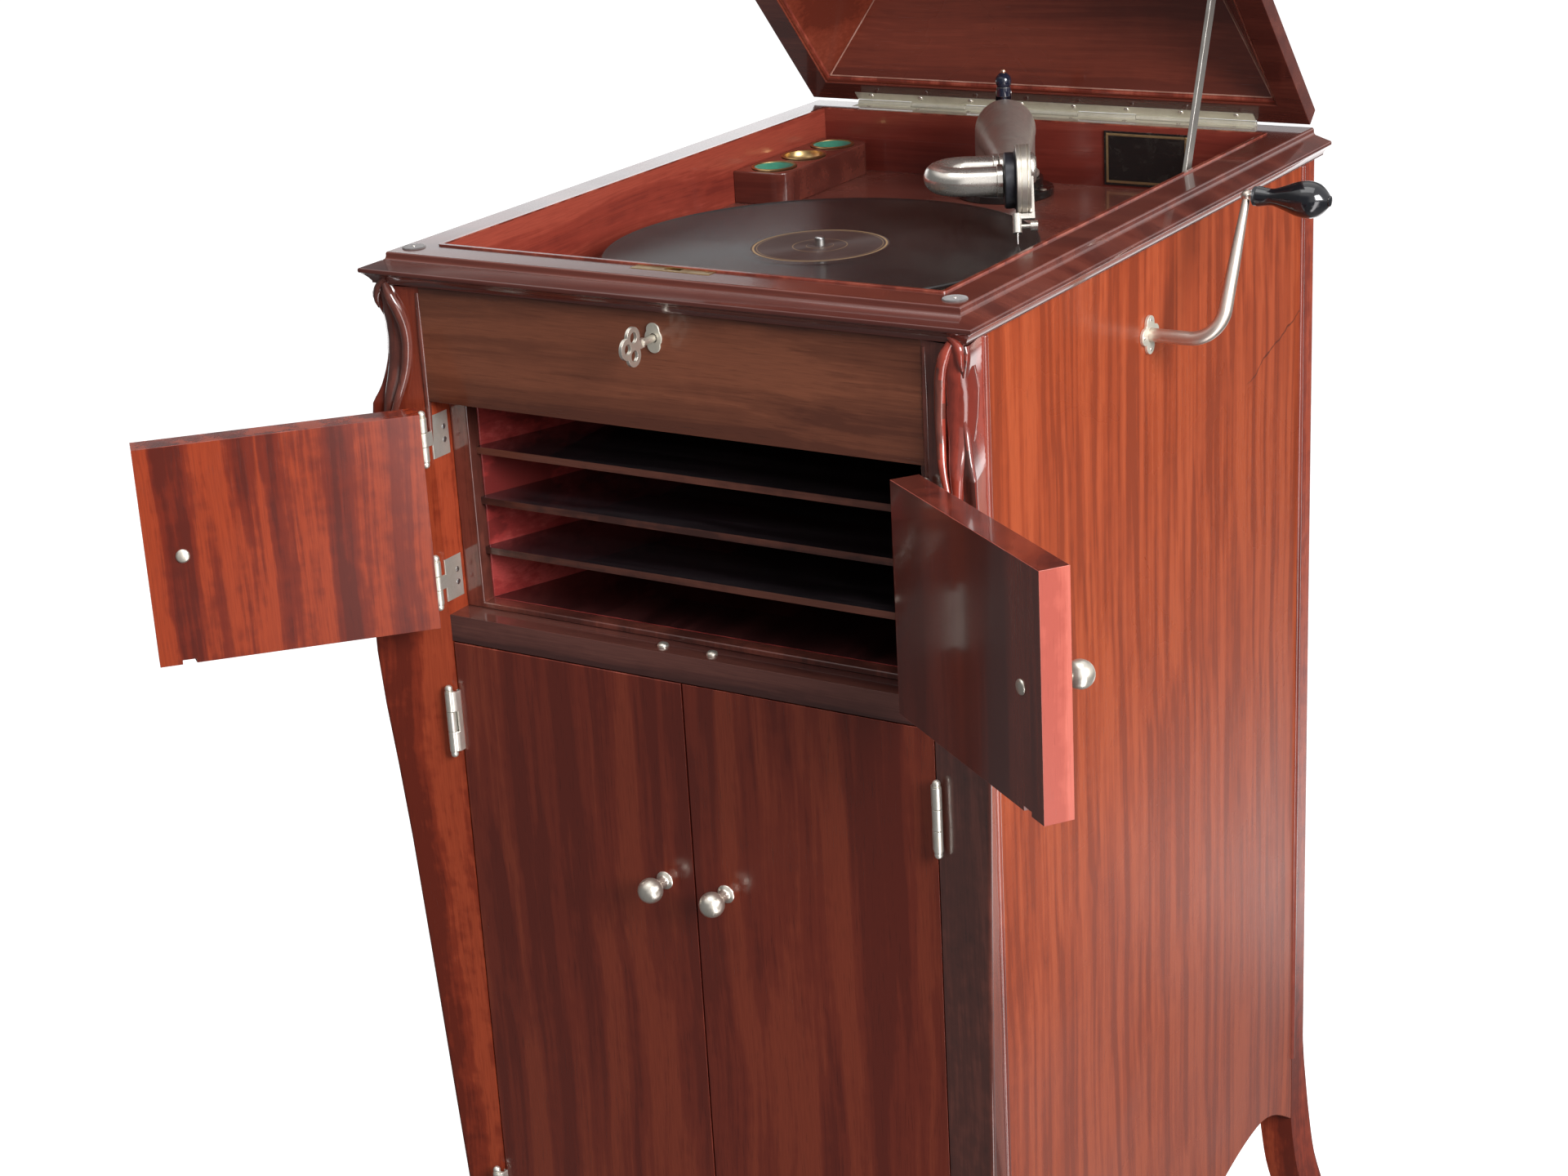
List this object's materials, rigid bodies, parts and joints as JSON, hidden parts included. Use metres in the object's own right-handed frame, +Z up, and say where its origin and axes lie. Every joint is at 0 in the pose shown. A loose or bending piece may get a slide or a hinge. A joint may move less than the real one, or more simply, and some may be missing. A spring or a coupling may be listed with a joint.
{
  "type": "cabinet gramophone",
  "caption": "Upright floor-standing talking machine: domed hinged lid, turntable and tone arm in a well, wind-up side crank, horn behind slats and two doors, record store on shaped legs.",
  "frame": {"origin": "on the floor, under the middle of the box round the whole object with its lid and upper doors open as in the picture", "axes": "+Z up, -Y out of the front, +X to the side with the crank, which is the right side seen from the front"},
  "size_m": [0.6793, 0.7708, 1.4307],
  "materials": {
    "panel_wood": "ribbon-stripe veneer, shellac polish",
    "front_wood": "dark red-brown stain, shellac polish",
    "well_wood": "red-brown stain, shellac polish",
    "inner_wood": "plain unpolished boards",
    "horn_wood": "thin orange-red boards, oiled",
    "nickel": "aged warm nickel plate",
    "brass": "aged, darkened",
    "iron": "black japanned casting",
    "steel": "oiled",
    "felt": "wool felt",
    "shellac_disc": "grooved shellac",
    "black_rubber": "hard, dull",
    "black_plate": "black lacquered brass",
    "handle_black": "black polished",
    "mica": "thin mica"
  },
  "bodies": {
    "cabinet": {"side_panels": "panel_wood", "back_panel": "inner_wood", "bottom_board": "inner_wood", "middle_shelf": "front_wood", "corner_posts": "front_wood", "top_frame": "well_wood", "well_lining": "well_wood", "motor_board": "well_wood", "fascia_panel": "front_wood", "front_apron": "front_wood", "horn_mouth_frame": "horn_wood", "horn_slats": "front_wood", "wooden_horn": "horn_wood", "horn_elbow": "iron", "tone_arm_base": "iron", "tone_arm_bracket": "nickel", "needle_cup_block": "front_wood", "needle_cups": "brass", "data_plate": "black_plate", "lid_lock": "brass", "escutcheons": "brass", "rim_bumpers": "felt", "lid_hinge_case_leaf": "nickel", "hinge_pins": "nickel", "door_hinge_case_leaves": "brass", "sill_catch_pins": "nickel", "motor_frame": "iron", "stay_guide": "nickel"},
    "lid": {"lid": "front_wood", "lid_fittings": "nickel"},
    "lid_stay": {"lid_stay": "nickel"},
    "turntable": {"turntable": "felt", "record": "shellac_disc", "spindle": "steel"},
    "tone_arm": {"tone_arm": "nickel"},
    "gooseneck": {"gooseneck": "nickel", "sound_box": "black_rubber", "sound_box_ring": "nickel", "diaphragm": "mica", "needle_bar": "nickel"},
    "crank": {"crank": "nickel"},
    "crank_handle": {"crank_handle": "handle_black"},
    "winding_arbor": {"winding_arbor": "steel"},
    "spring_barrel": {"spring_barrel": "steel"},
    "governor": {"governor": "brass"},
    "brake_lever": {"brake_lever": "nickel"},
    "speed_knob": {"speed_knob": "nickel"},
    "key": {"key": "nickel"},
    "upper_left_door": {"upper_left_door": "front_wood", "upper_left_knob": "nickel", "upper_left_hinge_leaves": "brass"},
    "upper_right_door": {"upper_right_door": "front_wood", "upper_right_knob": "nickel", "upper_right_hinge_leaves": "brass"},
    "lower_left_door": {"lower_left_door": "front_wood", "lower_left_knob": "nickel", "lower_left_hinge_leaves": "brass"},
    "lower_right_door": {"lower_right_door": "front_wood", "lower_right_knob": "nickel", "lower_right_hinge_leaves": "brass"}
  },
  "joints": [
    {"name": "lid_hinge", "type": "hinge", "parent": "cabinet", "child": "lid", "pos_m": [-0.012, 0.345, 1.001], "axis": [-1, 0, 0], "range_deg": [-48, 0]},
    {"name": "lid_stay_hinge", "type": "hinge", "parent": "lid", "child": "lid_stay", "pos_m": [0.173, 0.23801, 1.12132], "axis": [1, 0, 0], "range_deg": [-29, 0]},
    {"name": "upper_left_door_hinge", "type": "hinge", "parent": "cabinet", "child": "upper_left_door", "pos_m": [-0.207, -0.227, 0.821], "axis": [0, 0, -1], "range_deg": [-133.5, 24]},
    {"name": "upper_right_door_hinge", "type": "hinge", "parent": "cabinet", "child": "upper_right_door", "pos_m": [0.183, -0.227, 0.821], "axis": [0, 0, 1], "range_deg": [-144.5, 13]},
    {"name": "lower_left_door_hinge", "type": "hinge", "parent": "cabinet", "child": "lower_left_door", "pos_m": [-0.207, -0.227, 0.469], "axis": [0, 0, -1], "range_deg": [0, 157.5]},
    {"name": "lower_right_door_hinge", "type": "hinge", "parent": "cabinet", "child": "lower_right_door", "pos_m": [0.183, -0.227, 0.469], "axis": [0, 0, 1], "range_deg": [0, 157.5]},
    {"name": "turntable_spin", "type": "hinge", "parent": "cabinet", "child": "turntable", "pos_m": [-0.012, -0.016, 0.96], "axis": [0, 0, 1], "continuous": true},
    {"name": "governor_spin", "type": "hinge", "parent": "cabinet", "child": "governor", "pos_m": [-0.05715, -0.016, 0.9], "axis": [0, 0, 1], "continuous": true},
    {"name": "barrel_spin", "type": "hinge", "parent": "cabinet", "child": "spring_barrel", "pos_m": [0.048, 0.043, 0.89], "axis": [0, 0, 1], "continuous": true},
    {"name": "crank_turn", "type": "hinge", "parent": "cabinet", "child": "crank", "pos_m": [0.218, 0.043, 0.917], "axis": [1, 0, 0], "continuous": true},
    {"name": "arbor_turn", "type": "hinge", "parent": "cabinet", "child": "winding_arbor", "pos_m": [0.048, 0.043, 0.9], "axis": [0, 0, 1], "continuous": true},
    {"name": "crank_handle_spin", "type": "hinge", "parent": "crank", "child": "crank_handle", "pos_m": [0.288, 0.08684, 1.00688], "axis": [1, 0, 0], "continuous": true},
    {"name": "arm_swing", "type": "hinge", "parent": "cabinet", "child": "tone_arm", "pos_m": [-0.012, 0.266, 0.98], "axis": [0, 0, 1], "range_deg": [-21, 8]},
    {"name": "sound_box_lift", "type": "hinge", "parent": "tone_arm", "child": "gooseneck", "pos_m": [0.08901, 0.08303, 1.01502], "axis": [-0.8755, -0.4833, 0], "range_deg": [0, 90]},
    {"name": "brake_swing", "type": "hinge", "parent": "cabinet", "child": "brake_lever", "pos_m": [0.13, -0.139, 0.955], "axis": [0, 0, 1], "range_deg": [-30, 0]},
    {"name": "speed_turn", "type": "hinge", "parent": "cabinet", "child": "speed_knob", "pos_m": [-0.162, -0.146, 0.957], "axis": [0, 0, 1], "range_deg": [-150, 150]},
    {"name": "key_turn", "type": "hinge", "parent": "cabinet", "child": "key", "pos_m": [-0.0145, -0.231, 0.961], "axis": [0, 1, 0], "range_deg": [0, 90]}
  ],
  "couplings": [
    {"joint": "lid_stay_hinge", "follows": "lid_hinge", "ratio": 0.6},
    {"joint": "governor_spin", "follows": "turntable_spin", "ratio": -8},
    {"joint": "barrel_spin", "follows": "turntable_spin", "ratio": -0.12},
    {"joint": "arbor_turn", "follows": "crank_turn", "ratio": 0.5}
  ]
}
